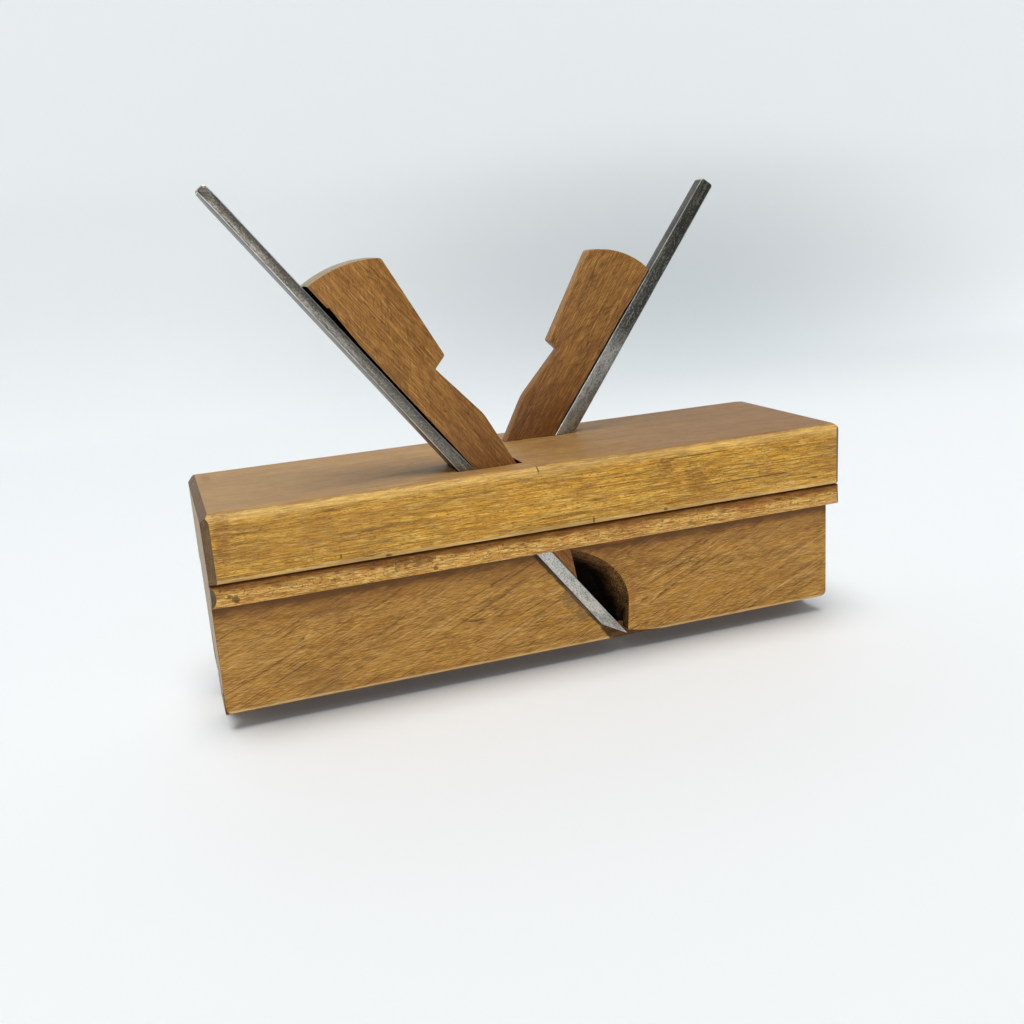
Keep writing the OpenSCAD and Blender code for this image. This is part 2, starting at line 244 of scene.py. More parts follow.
@dataclass(frozen=True)
class Hairlines:
    """A coat of thin long lines, where a stretched noise crosses one level.

    The size is the mean length and spacing of the lines in mm; width is their share of the spacing.
    Lines of one seed at two close levels lie side by side, like the two lips of a scratch. A
    second, coarser noise opens and closes the lines between its two gaps' levels.
    """

    colour: str
    size: Pair
    width: float
    share: float
    turn: float = 0.0
    seed: float = 0.0
    height: float = 0.0
    level: float = 0.5
    gaps: Pair = (0.42, 0.58)

    def mask(self, canvas: Canvas) -> Socket:
        """Where the coat lies, from 0 to 1."""
        level_per_width = 0.3
        gap_length, gap_spacing, gap_seed = 0.6, 2.0, 0.5
        add = canvas.graph.add
        along, across = self.size
        cells = canvas.cells((along, across, across), self.turn, 1.0, self.seed)
        off = add("Math", {0: cells, 1: self.level}, operation="SUBTRACT")
        off = add("Math", {0: off}, operation="ABSOLUTE")
        edge = {"Value": off, "From Min": level_per_width * self.width, "From Max": 0.0}
        lines = add("MapRange", edge, **SOFTLY)
        coarse = (along * gap_length, across * gap_spacing, across * gap_spacing)
        gaps = canvas.cells(coarse, self.turn, 2.0, self.seed + gap_seed)
        shut, clear = self.gaps
        gaps = add("MapRange", {"Value": gaps, "From Min": shut, "From Max": clear}, **SOFTLY)
        return add("Math", {0: lines, 1: gaps}, operation="MULTIPLY")


@dataclass(frozen=True)
class Band:
    """A coat in one soft stripe, across a weighted sum of x, |y| and z in mm.

    It rises between two values of that sum, and falls again between two others. It can be held
    within another band, of which only the place counts, and to the near side.
    """

    colour: str
    weights: Sizes
    rise: Pair
    share: float = 1.0
    fall: Pair | None = None
    wobble: float = 0.0
    height: float = 0.0
    within: "Band | None" = None
    near_only: bool = False

    def mask(self, canvas: Canvas) -> Socket:
        """Where the coat lies, from 0 to 1."""
        add = canvas.graph.add
        along, aside, up = self.weights
        weighted = {0: canvas.place, 1: (along, 0.0, up)}
        direct = add("VectorMath", weighted, VECTOR_VALUE, operation="DOT_PRODUCT")
        folded = {0: add("VectorMath", {0: canvas.place}, operation="ABSOLUTE"), 1: (0.0, aside, 0.0)}
        sideways = add("VectorMath", folded, VECTOR_VALUE, operation="DOT_PRODUCT")
        level = add("Math", {0: direct, 1: sideways}, operation="ADD")
        if self.wobble:
            unrest = canvas.unrest((8.0, 2.5, 2.5), detail=4.0, seed=3.7, swing=3 * self.wobble)
            level = add("Math", {0: level, 1: unrest}, operation="ADD")
        start, full = self.rise
        mask = add("MapRange", {"Value": level, "From Min": start, "From Max": full}, **SOFTLY)
        limits = []
        if self.fall:
            begin, gone = self.fall
            limits.append(add("MapRange", {"Value": level, "From Min": gone, "From Max": begin}, **SOFTLY))
        if self.within:
            limits.append(self.within.mask(canvas))
        if self.near_only:
            facing = {0: canvas.place, 1: (0.0, -1.0, 0.0)}
            nearness = add("VectorMath", facing, VECTOR_VALUE, operation="DOT_PRODUCT")
            limits.append(add("MapRange", {"Value": nearness, "From Min": -1.0, "From Max": 1.0}, **SOFTLY))
        for limit in limits:
            mask = add("Math", {0: mask, 1: limit}, operation="MULTIPLY")
        return mask


@dataclass(frozen=True)
class Marks:
    """A coat of small marks of use: x, y, z, half length and half height in mm.

    Each mark reaches a little way into the wood, and its outline is ragged.
    """

    colour: str
    spots: tuple[Spot, ...]
    share: float
    height: float = 0.0
    ragged: float = 1.4
    depth: float = 6.0
    outline: Pair = (1.1, 0.7)

    def mask(self, canvas: Canvas) -> Socket:
        """Where the coat lies, from 0 to 1."""
        add = canvas.graph.add
        unrest = canvas.unrest((1.4, 0.8, 0.8), detail=3.0, seed=8.1, swing=self.ragged)
        outside, inside = self.outline
        mask: Socket | float = 0.0
        for x, y, z, wide, high in self.spots:
            scale = (1 / wide, 1 / self.depth, 1 / high)
            shift = (-x / wide, -y / self.depth, -z / high)
            spot = add("VectorMath", {0: canvas.place, 1: scale, 2: shift}, operation="MULTIPLY_ADD")
            reach = add("VectorMath", {0: spot}, VECTOR_VALUE, operation="LENGTH")
            reach = add("Math", {0: reach, 1: unrest}, operation="ADD")
            here = add("MapRange", {"Value": reach, "From Min": outside, "From Max": inside}, **SOFTLY)
            mask = add("Math", {0: here, 1: mask}, operation="MAXIMUM")
        return mask


Coat = Streaks | Hairlines | Band | Marks


@dataclass(frozen=True)
class Finish:
    """A base colour under coats, laid on in order.

    The grain is the turn about Y, in degrees, that lays the fibres along X. The relief is the
    height in mm that a coat's height of 1 stands for. The roughness swings round its middle value.
    """

    name: str
    base: str
    coats: tuple[Coat, ...]
    grain: float = 0.0
    rough: float = 0.5
    relief: float = 0.06
    rough_swing: float = 0.24
    rough_cells: Sizes = (11.0, 5.0, 5.0)

    def surface(self) -> dict[str, float]:
        """Constants for the surface's own sockets."""
        return {}

    def make(self) -> Material:
        """Build the material: colour, roughness and bump from the same coats."""
        graph = Graph(self.name)
        metres = graph.add("TexCoord", out=OBJECT_PLACE)
        place = graph.add("VectorMath", {0: metres, VECTOR_SCALE: 1 / MM}, operation="SCALE")
        canvas = Canvas(graph, place, self.grain)
        colour: Socket | Colour = linear(self.base)
        height: Socket | float = 0.5
        for coat in self.coats:
            mask = coat.mask(canvas)
            share = graph.add("Math", {0: mask, 1: coat.share}, operation="MULTIPLY")
            mixed = {0: share, MIX_FIRST: colour, MIX_SECOND: linear(coat.colour)}
            colour = graph.add("Mix", mixed, MIX_RESULT, data_type="RGBA")
            if coat.height:
                raised = graph.add("Math", {0: mask, 1: coat.height}, operation="MULTIPLY")
                height = graph.add("Math", {0: height, 1: raised}, operation="ADD")
        uneven = canvas.cells(self.rough_cells, 0.0, 4.0, 5.3)
        swing = graph.add("Math", {0: uneven, 1: self.rough_swing}, operation="MULTIPLY")
        rough = graph.add("Math", {0: swing, 1: self.rough - self.rough_swing / 2}, operation="ADD")
        normal = graph.add("Bump", {"Strength": 1.0, "Distance": self.relief * MM, "Height": height})
        inputs = {"Base Color": colour, "Roughness": rough, "Normal": normal, **self.surface()}
        graph.add("OutputMaterial", {"Surface": graph.add("BsdfPrincipled", inputs)})
        return graph.material


@dataclass(frozen=True)
class OiledBeech(Finish):
    """European beech, planed, oiled and darkened by years of hands.

    It gives the eye fine streaks along the fibres, short dark ray flecks, stains and hairline
    scratches under a soft, low sheen.
    """

    sheen: float = 0.25

    def surface(self) -> dict[str, float]:
        """An oil film reflects less than a varnish."""
        return {"Specular IOR Level": self.sheen}


@dataclass(frozen=True)
class ForgedSteel(Finish):
    """Carbon steel, forged, ground on its flats and dulled by age.

    It gives the eye a warm grey skin with fine cross-grinding, small pits and brown bloom.
    """

    def surface(self) -> dict[str, float]:
        """Bare metal, at the default IOR."""
        return {"Metallic": 1.0}


def merged_copy(node: str) -> Mesh:
    """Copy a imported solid's mesh, merge its doubles and join its flat triangles.

    Args:
        node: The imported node's name.

    Returns:
        The copy as an open bmesh.
    """
    same_place, flat_turn = 0.002, 0.4
    bm = bmesh.new()
    bm.from_mesh(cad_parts[node].data)
    bmesh.ops.remove_doubles(bm, verts=bm.verts, dist=same_place * MM)
    bmesh.ops.dissolve_limit(bm, angle_limit=math.radians(flat_turn), verts=bm.verts, edges=bm.edges)
    log.info("copied %s with %d faces", node, len(bm.faces))
    return bm


def ease(bm: Mesh, width: float, angle: float = 28.0, steps: int = 2) -> list[bmesh.types.BMFace]:
    """Round the arrises that are sharper than an angle.

    Args:
        bm: The piece's mesh.
        width: Width of the rounding in mm.
        angle: Smallest turn between two faces that counts as an arris, in degrees.
        steps: Faces across the rounding.

    Returns:
        The faces of the roundings.
    """
    limit = math.radians(angle)
    sharp = [e for e in bm.edges if len(e.link_faces) == 2 and e.calc_face_angle(0.0) > limit]
    made = bmesh.ops.bevel(
        bm, geom=sharp, offset=width * MM, offset_type="OFFSET", segments=steps, profile=0.5,
        affect="EDGES", clamp_overlap=True, material=-1,
    )
    return made["faces"]


@dataclass(frozen=True)
class Wear:
    """Uneven wear of the arrises.

    The depth is the deepest wear, the span the length of one dent and the step the distance
    between the cuts that let an arris bend, all in mm. The turn, in degrees, is the smallest
    that counts as an arris. The bias says how much of the arris is touched at all.
    """

    depth: float
    span: float
    step: float
    turn: float = 12.0
    bias: float = 0.25
    falloff: float = 1.0
    spacing: float = 2.0
    octaves: int = 3

    def cut(self, bm: Mesh, reach: float) -> None:
        """Cut a mesh across X into short lengths.

        Args:
            bm: The piece's mesh.
            reach: The first and last cuts' distance from the middle, in mm.
        """
        axis = Vector((1, 0, 0))
        for i in range(int(2 * reach / self.step) + 1):
            geom = list(bm.verts) + list(bm.edges) + list(bm.faces)
            place = axis * (i * self.step - reach) * MM
            bmesh.ops.bisect_plane(bm, geom=geom, dist=1e-7, plane_co=place, plane_no=axis)

    def rub(self, bm: Mesh) -> None:
        """Push the vertices of the arrises inwards by smooth noise."""
        bm.normal_update()
        moved = {}
        for vert in bm.verts:
            turns = [e.calc_face_angle(0.0) for e in vert.link_edges if len(e.link_faces) == 2]
            if max(turns, default=0.0) < math.radians(self.turn):
                continue
            place = vert.co / (self.span * MM)
            dent = noise.fractal(place, self.falloff, self.spacing, self.octaves) + self.bias
            moved[vert] = vert.normal * (-self.depth * MM * min(1.0, max(0.0, dent)))
        for vert, push in moved.items():
            vert.co += push


@dataclass
class Piece:
    """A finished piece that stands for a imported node."""

    name: str
    body: str
    node: str
    slot: str
    smooth_under: float = 40.0

    def place(self, bm: Mesh, finishes: list[Material]) -> None:
        """Turn a mesh into the finished piece.

        Args:
            bm: The mesh, which is freed.
            finishes: The piece's materials, in the order of the faces' numbers.
        """
        mesh = bpy.data.meshes.new(self.name)
        bm.to_mesh(mesh)
        bm.free()
        for finish in finishes:
            mesh.materials.append(finish)
        mesh.shade_smooth()
        mesh.set_sharp_from_angle(angle=math.radians(self.smooth_under))
        piece = bpy.data.objects.new(self.name, mesh)
        bpy.context.scene.collection.objects.link(piece)
        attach(piece, self.body)
        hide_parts(self.node)
        log.info("%s: %d faces on %s", self.name, len(mesh.polygons), self.body)


# The pores and fibres of beech are under 0.1 mm wide, too fine to show. Here and in the other
# coats of beech they are drawn 0.3 to 0.55 mm wide, about one pixel of the picture.
PORES = (
    Streaks("#5c3510", size=(3.2, 0.38), opens=(0.50, 0.61), share=0.3, detail=2.0, seed=151.0, height=-0.15),
    Streaks("#efb654", size=(2.6, 0.38), opens=(0.52, 0.63), share=0.26, detail=2.0, seed=152.0),
)

# The top has been handled and dried: it is browner than the sides, up to a soft line at its arris.
TOP_FACE = Band("#a27c4e", OVER_THE_TOP, rise=(TOP_ARRIS, TOP_ARRIS + 3.6), share=0.9, wobble=0.9)
UPPER_CHIPS = (
    (-4.5, -36.0, 79.0, 0.35, 1.3),
    (15.3, -UPPER_Y, 58.0, 0.4, 1.5),
    (-60.3, -UPPER_Y, 57.3, 1.2, 0.6),
    (-76.5, -UPPER_Y, 59.5, 0.35, 0.8),
    (44.0, -UPPER_Y, 57.6, 0.9, 0.7),
    (107.7, -UPPER_Y, 60.5, 1.6, 0.4),
    (55.7, -UPPER_Y, 76.1, 17.5, 0.28),
    (79.6, -UPPER_Y, 64.1, 21.0, 0.26),
)
UPPER_STAINS = (
    (56.2, -UPPER_Y, 67.0, 5.0, 5.5),
    (-114.0, -UPPER_Y, 72.0, 3.0, 8.0),
    (44.0, -UPPER_Y, 73.0, 3.5, 2.5),
    (-113.9, 24.2, TOP_Z, 1.6, 4.0),
)
# Planed and oiled beech, honey yellow on the side: long dark pores, pale fibres and a few scratches,
# a painted highlight along the top arris, a pale line above the quirk and painted shade at its lip.
UPPER_BLOCK = OiledBeech(
    "oiled_beech_upper_block", "#dc9f32",
    (
        TOP_FACE,
        Streaks("#a87725", size=(60, 5), opens=(0.42, 0.60), share=0.45, seed=1.0),
        Streaks("#e6b54c", size=(40, 2.4), opens=(0.50, 0.64), share=0.3, seed=2.0),
        Streaks("#8c5f1c", size=(24, 0.55), opens=(0.49, 0.60), share=0.42, seed=3.0, height=-0.2),
        Streaks("#f2c45c", size=(20, 0.52), opens=(0.51, 0.62), share=0.45, seed=5.0),
        Streaks("#6b4514", size=(7.0, 0.42), opens=(0.52, 0.61), share=0.5, seed=6.0, height=-0.2),
        Streaks("#ffdc80", size=(5.0, 0.42), opens=(0.54, 0.63), share=0.42, seed=6.6),
        Hairlines("#5d390e", size=(120, 2.4), width=0.08, share=0.7, turn=0.6, seed=4.0, height=-0.6),
        Hairlines("#6b430f", size=(90, 1.6), width=0.07, share=0.55, turn=-0.5, seed=4.2, height=-0.6),
        Hairlines("#f8d684", size=(60, 1.8), width=0.07, share=0.35, turn=0.4, seed=4.5),
        *PORES,
        Streaks("#4d2f0d", size=(1.0, 0.5), opens=(0.62, 0.68), share=0.5, detail=1.0, seed=7.0, height=-0.4),
        Streaks("#8b5a24", size=(14, 8), opens=(0.54, 0.70), share=0.35, detail=5.0, seed=8.5),
        # Painted highlight: a pale band on the rounding of the top arris, where it catches the light.
        Band("#f3d288", OVER_THE_TOP, rise=(TOP_ARRIS - 4.4, TOP_ARRIS - 1.4), share=0.35,
             fall=(TOP_ARRIS - 0.2, TOP_ARRIS + 2.6), wobble=0.9),
        Band("#e6c98f", DOWNWARDS, rise=(-QUIRK_Z - 2.5, -QUIRK_Z - 1.5), share=0.4, wobble=0.5),
        # Painted shade: the lowest half millimetre above the quirk is darkened for the shadow in its groove.
        Band("#3a230e", DOWNWARDS, rise=(-QUIRK_Z - 0.7, -QUIRK_Z - 0.2), share=0.5, wobble=0.3),
        replace(TOP_FACE, colour="#a47c50", share=0.35),
        Streaks("#8a6238", size=(70, 14), opens=(0.46, 0.62), share=0.3, seed=9.0),
        Streaks("#76532f", size=(10, 0.9), opens=(0.50, 0.62), share=0.3, seed=9.5),
        Band("#b08c5e", LEFTWARDS, rise=(-40.0, 110.0), share=0.5, within=TOP_FACE),
        Band("#7d5a38", RIGHTWARDS, rise=(-30.0, 90.0), share=0.6, within=TOP_FACE),
        Marks("#4f310f", UPPER_CHIPS, share=0.75, height=-1.0, ragged=1.0),
        Marks("#7a4a1c", UPPER_STAINS, share=0.4, ragged=3.0),
    ),
)

BEAD_CHIPS = (
    (-44.3, -BEAD_Y, 49.5, 1.0, 1.0),
    (-114.2, -BEAD_Y, 51.8, 0.8, 0.7),
    (-112.2, -BEAD_Y, 50.5, 1.3, 1.3),
)
BEAD_BRUISES = (
    (-56.0, -BEAD_Y, 54.0, 6.0, 1.6),
    (-49.0, -BEAD_Y, 53.0, 4.0, 1.5),
    (-66.0, -BEAD_Y, 54.4, 4.0, 1.2),
)
BEAD_STAINS = (
    (80.0, -BEAD_Y, 52.6, 9.0, 2.0),
    (30.0, -BEAD_Y, 52.5, 8.0, 1.6),
)
# Beech cut with a moulding iron: a round bead, roughened by fingers, with dark specks where its
# pores have filled with dirt, and painted shade towards the quirk.
BEAD = OiledBeech(
    "oiled_beech_bead", "#d39c4a",
    (
        Streaks("#b07a32", size=(40, 3), opens=(0.42, 0.62), share=0.5, seed=11.0),
        Streaks("#f0c268", size=(16, 1.4), opens=(0.50, 0.63), share=0.6, seed=12.0),
        Streaks("#7c4e1c", size=(5.0, 0.5), opens=(0.52, 0.62), share=0.65, seed=13.0, height=-0.5),
        Streaks("#ffdf90", size=(3.5, 0.48), opens=(0.53, 0.63), share=0.6, seed=14.0),
        Hairlines("#6d4316", size=(34, 1.8), width=0.10, share=0.7, turn=-2.0, seed=14.5, height=-0.5),
        *PORES,
        Streaks("#472a0e", size=(0.9, 0.6), opens=(0.61, 0.67), share=0.6, detail=1.0, seed=15.0,
                height=-0.5),
        Streaks("#8a5526", size=(14, 2.5), opens=(0.55, 0.70), share=0.5, detail=5.0, seed=16.0),
        # Painted shade: the bead's upper part darkens towards the quirk, where it lies in shade.
        Band("#7d4a20", UPWARDS, rise=(QUIRK_Z - 3.6, QUIRK_Z - 0.9), share=0.75, wobble=1.2),
        # Painted shadow: a dark line at the bead's top, for the shade in the quirk's groove.
        Band("#2a170a", UPWARDS, rise=(QUIRK_Z - 1.0, QUIRK_Z - 0.4), share=0.6, wobble=0.3),
        Marks("#4a2d14", BEAD_CHIPS, share=0.7, height=-1.0, ragged=2.4),
        Marks("#6b3f1c", BEAD_BRUISES, share=0.55, height=-0.5, ragged=3.6),
        Marks("#a3602a", BEAD_STAINS, share=0.45, ragged=1.6),
    ),
)

# The bed's arris is painted dark, as the shade of the gap between it and the tongue iron,
# where the iron leaves the side, on the near side alone. It lies 4.3 to 6.5 mm behind the
# plane of the iron's face.
ACROSS_BED = TONGUE_BED.away()
BESIDE_MOUTH = Band("#20150b", RIGHTWARDS, rise=(-8.0, -4.0))
BED_GAP_SHADE = Band(
    "#20150b", tuple(ACROSS_BED), share=0.85, wobble=0.5, within=BESIDE_MOUTH, near_only=True,
    rise=(TONGUE_BED.level(ACROSS_BED, -6.54), TONGUE_BED.level(ACROSS_BED, -5.74)),
    fall=(TONGUE_BED.level(ACROSS_BED, -4.74), TONGUE_BED.level(ACROSS_BED, -4.34)),
)
LOWER_NICKS = (
    (-28.0, -LOWER_Y, 24.0, 4.5, 0.25),
    (108.5, -LOWER_Y, 37.7, 0.3, 0.3),
)
LOWER_SMUDGES = (
    (9.0, -LOWER_Y, 26.5, 4.0, 5.5),
    (13.5, -LOWER_Y, 20.0, 3.0, 4.0),
)
LOWER_STAINS = (
    (30.0, -LOWER_Y, 45.5, 9.0, 1.6),
    (34.0, -LOWER_Y, 22.0, 1.2, 9.0),
)
# The recessed side, browner and duller, with slanting scratches from the saw and from use, and
# painted shade under the overhanging bead over a real stain of old wax and dirt.
LOWER_BLOCK = OiledBeech(
    "oiled_beech_lower_block", "#bf8a38",
    (
        Streaks("#956529", size=(50, 5), opens=(0.42, 0.62), share=0.45, seed=21.0),
        Streaks("#cf9f52", size=(24, 3), opens=(0.50, 0.65), share=0.4, seed=22.0),
        Streaks("#6b441a", size=(12, 0.42), opens=(0.50, 0.60), share=0.42, turn=3.0, seed=23.0, height=-0.2),
        Streaks("#e6bb74", size=(9.0, 0.42), opens=(0.53, 0.63), share=0.42, turn=3.0, seed=24.0),
        Streaks("#6a431c", size=(30, 0.42), opens=(0.51, 0.60), share=0.34, turn=24.0, seed=26.0,
                height=-0.2),
        Streaks("#e0b46e", size=(26, 0.42), opens=(0.54, 0.63), share=0.32, turn=24.0, seed=26.5),
        Hairlines("#5a3614", size=(80, 1.5), width=0.08, share=0.75, turn=24.0, seed=25.0, height=-0.6,
                  gaps=(0.36, 0.54)),
        Hairlines("#e6bf7c", size=(80, 1.5), width=0.07, share=0.4, turn=24.0, seed=25.0, level=0.53,
                  gaps=(0.36, 0.54)),
        Hairlines("#64401c", size=(60, 2.2), width=0.08, share=0.6, turn=20.5, seed=27.0, height=-0.5),
        Hairlines("#6c451b", size=(44, 2.0), width=0.08, share=0.5, turn=29.0, seed=27.3, height=-0.4),
        Hairlines("#5f3b18", size=(44, 1.6), width=0.07, share=0.5, turn=-24.0, seed=27.7),
        Hairlines("#7a5020", size=(30, 1.5), width=0.09, share=0.45, turn=-6.0, seed=27.5, height=-0.3),
        *PORES,
        Streaks("#855a2d", size=(24, 11), opens=(0.54, 0.72), share=0.35, detail=5.0, seed=28.0),
        # Painted shade under the bead's overhang, over the reddish stain of old wax and dirt there.
        Band("#7a4c22", UPWARDS, rise=(BEAD_FOOT_Z - 15.7, BEAD_FOOT_Z - 2.7), share=0.55, wobble=2.0),
        Band("#50300f", UPWARDS, rise=(BEAD_FOOT_Z - 7.2, BEAD_FOOT_Z - 3.2), share=0.82, wobble=1.6),
        # Painted shadow: a dark line right under the bead's foot.
        Band("#38200e", UPWARDS, rise=(BEAD_FOOT_Z - 2.1, BEAD_FOOT_Z - 0.9), share=0.6, wobble=0.8),
        Band("#ecc888", DOWNWARDS, rise=(-SOLE_Z - 1.4, -SOLE_Z - 0.6), share=0.6, wobble=0.4),
        # Painted shade of the gap behind the tongue iron.
        BED_GAP_SHADE,
        Marks("#4f2f14", LOWER_NICKS, share=0.7, height=-1.0, ragged=0.8),
        Marks("#6f5638", LOWER_SMUDGES, share=0.5, ragged=2.0),
        Marks("#a2592a", LOWER_STAINS, share=0.4, ragged=1.6),
    ),
)

# Sawn and scraped end grain, grey with age: soft patches, faint upright lines and open pores.
END_GRAIN = OiledBeech(
    "oiled_beech_end_grain", "#b5a188",
    (
        Streaks("#a08a70", size=(30, 22), opens=(0.42, 0.62), share=0.5, detail=2.0, seed=31.0),
        Hairlines("#86705a", size=(30, 2.4), width=0.16, share=0.5, turn=90.0, seed=31.5),
        Streaks("#6a543d", size=(0.6, 0.5), opens=(0.54, 0.64), share=0.5, detail=2.0, seed=32.0,
                height=-0.3),
        Streaks("#d6c7ae", size=(0.8, 0.5), opens=(0.55, 0.65), share=0.45, detail=2.0, seed=33.0),
        Streaks("#6a5540", size=(40, 26), opens=(0.58, 0.74), share=0.35, detail=3.0, seed=34.0),
    ),
    rough=0.6,
)

# The knife-cut chamfers of the ends, painted dark for their shade, with dark specks in torn fibres.
END_CHAMFER = OiledBeech(
    "oiled_beech_end_chamfer", "#6e5538",
    (
        Streaks("#4d3824", size=(6, 6), opens=(0.42, 0.62), share=0.45, seed=41.0),
        Streaks("#8b7050", size=(2.5, 0.8), opens=(0.55, 0.68), share=0.5, seed=42.0),
        Streaks("#3a2919", size=(0.9, 0.7), opens=(0.55, 0.66), share=0.6, detail=2.0, seed=43.0,
                height=-0.6),
    ),
    rough=0.6,
)

# Chiselled beech inside the mortises and escapements: dry, speckled, and painted black with shade a little
# way in.
MOUTH_WOOD = OiledBeech(
    "dark_beech_mouth", "#85603a",
    (
        Streaks("#2b1a0c", size=(0.8, 0.6), opens=(0.46, 0.56), share=0.8, seed=51.0, height=-0.5),
        Streaks("#b58f58", size=(0.8, 0.6), opens=(0.56, 0.65), share=0.5, seed=52.0),
        Streaks("#3a2612", size=(7, 5), opens=(0.42, 0.62), share=0.5, seed=53.0),
        # Painted shade: black from a little way in from the side, where the hollow lies in shadow.
        Band("#070504", INWARDS, rise=(1.3 - LOWER_Y, 12.7 - LOWER_Y), share=0.97, wobble=3.5),
    ),
    rough=0.75, sheen=0.05,
)

# The sole, rubbed along its length by every board it has run on.
SOLE_WOOD = OiledBeech(
    "worn_beech_sole", "#856242",
    (
        Streaks("#6f4820", size=(50, 4), opens=(0.42, 0.60), share=0.65, seed=61.0),
        Streaks("#ad7f40", size=(22, 1.4), opens=(0.52, 0.66), share=0.5, seed=62.0),
        Streaks("#533314", size=(8, 0.8), opens=(0.54, 0.66), share=0.6, seed=63.0, height=-0.5),
        Streaks("#462c14", size=(20, 9), opens=(0.56, 0.72), share=0.5, detail=5.0, seed=64.0),
    ),
)


class Region(Enum):
    """The parts of the stock that have a finish of their own."""

    UPPER = UPPER_BLOCK
    BEAD = BEAD
    LOWER = LOWER_BLOCK
    END = END_GRAIN
    CHAMFER = END_CHAMFER
    MOUTH = MOUTH_WOOD
    SOLE = SOLE_WOOD


@dataclass
class Stock:
    """The beech stock, with its arrises worn and each region in its own finish; sizes in mm."""

    arris: float = 0.45
    wear: Wear = Wear(depth=0.35, span=7.0, step=3.0)
    worn_to: float = 114.0
    end_depth: float = 0.7
    chamfer_reach: float = 4.0
    mouths_to: float = 75.0
    skin: float = 0.4
    side_skin: float = 0.45
    side_rounding: float = 0.9

    def region(self, face: bmesh.types.BMFace) -> Region:
        """Say which region a face of the stock belongs to.

        Args:
            face: The face.

        Returns:
            Its region.
        """
        square_on, slanting, steep_down, straight_down = 0.95, 0.3, -0.7, -0.98
        centre, normal = face.calc_center_median() / MM, face.normal
        from_end = END_X - abs(centre.x)
        if abs(normal.x) > square_on and from_end < self.end_depth:
            return Region.END
        if abs(normal.x) > slanting and from_end < self.chamfer_reach:
            return Region.CHAMFER
        between_sides = abs(centre.y) < LOWER_Y - self.side_skin and abs(centre.x) < self.mouths_to
        between_faces = SOLE_Z + self.skin < centre.z < TOP_Z - self.skin
        if between_sides and between_faces and normal.z > straight_down:
            return Region.MOUTH
        if centre.z >= BEAD_FOOT_Z:
            return Region.BEAD if centre.z < QUIRK_Z else Region.UPPER
        on_sole = normal.z < steep_down or abs(centre.y) < LOWER_Y - self.side_rounding
        return Region.SOLE if on_sole else Region.LOWER

    def build(self) -> None:
        """Make the dressed stock."""
        bm = merged_copy("stock")
        ease(bm, self.arris)
        self.wear.cut(bm, self.worn_to)
        self.wear.rub(bm)
        regions = list(Region)
        for face in bm.faces:
            face.material_index = regions.index(self.region(face))
        Piece("beech_stock", "stock", "stock", "stock").place(bm, [r.value.make() for r in regions])


# Steel that hands or boards have rubbed: bright scratches, brown bloom and small dark pits.
WORN_STEEL = (
    Streaks("#3c3833", size=(14, 4), opens=(0.44, 0.62), share=0.4, detail=5.0, seed=111.0),
    Streaks("#a5a29b", size=(16, 0.7), opens=(0.52, 0.66), share=0.4, detail=2.0, seed=112.0, height=-0.3),
    Streaks("#2a2521", size=(0.9, 0.8), opens=(0.60, 0.68), share=0.6, seed=113.0, height=-0.9),
    Streaks("#553d2a", size=(12, 6), opens=(0.56, 0.72), share=0.4, detail=5.0, seed=114.0),
)

# The wedge's back, which lies against the iron: painted black as the shade of the gap, and without any sheen.
BACK_SHADE_WOOD = OiledBeech("painted_shade_beech_back", "#140c06", (), rough=0.8, sheen=0.0)


def wedge_coats(bed: BedPlane, seed: float) -> tuple[Coat, ...]:
    """Coats of a beech wedge.

    Args:
        bed: The plane its iron lies on.
        seed: Where its patterns are cut from the noise.

    Returns:
        Streaks along the wedge, cross scratches and a darker foot.
    """
    up = bed.up()
    foot = (bed.level(up, 34), bed.level(up, 4))
    return (
        Streaks("#7a4d1f", size=(40, 6), opens=(0.42, 0.60), share=0.35, seed=seed),
        Streaks("#bd8842", size=(18, 2.2), opens=(0.50, 0.64), share=0.22, seed=seed + 1),
        Streaks("#55300f", size=(12, 0.36), opens=(0.50, 0.60), share=0.46, seed=seed + 2, height=-0.2),
        Streaks("#dca65a", size=(9.0, 0.36), opens=(0.53, 0.63), share=0.44, seed=seed + 3),
        Streaks("#4f2e12", size=(4.0, 0.42), opens=(0.52, 0.61), share=0.4, turn=-34.0, seed=seed + 3.2),
        Hairlines("#4d2c10", size=(26, 1.8), width=0.09, share=0.55, turn=5.0, seed=seed + 3.5, height=-0.4),
        Hairlines("#4f2e12", size=(30, 1.8), width=0.08, share=0.45, turn=-36.0, seed=seed + 4, height=-0.3),
        Streaks("#5c3510", size=(3.6, 0.3), opens=(0.51, 0.61), share=0.22, seed=seed + 4.3, height=-0.15),
        Streaks("#e0a850", size=(3.0, 0.3), opens=(0.53, 0.63), share=0.2, seed=seed + 4.6),
        Streaks("#4a2a11", size=(12, 7), opens=(0.55, 0.72), share=0.3, detail=5.0, seed=seed + 5),
        Band("#5b3118", tuple(up), rise=foot, share=0.42, wobble=5.0),
    )


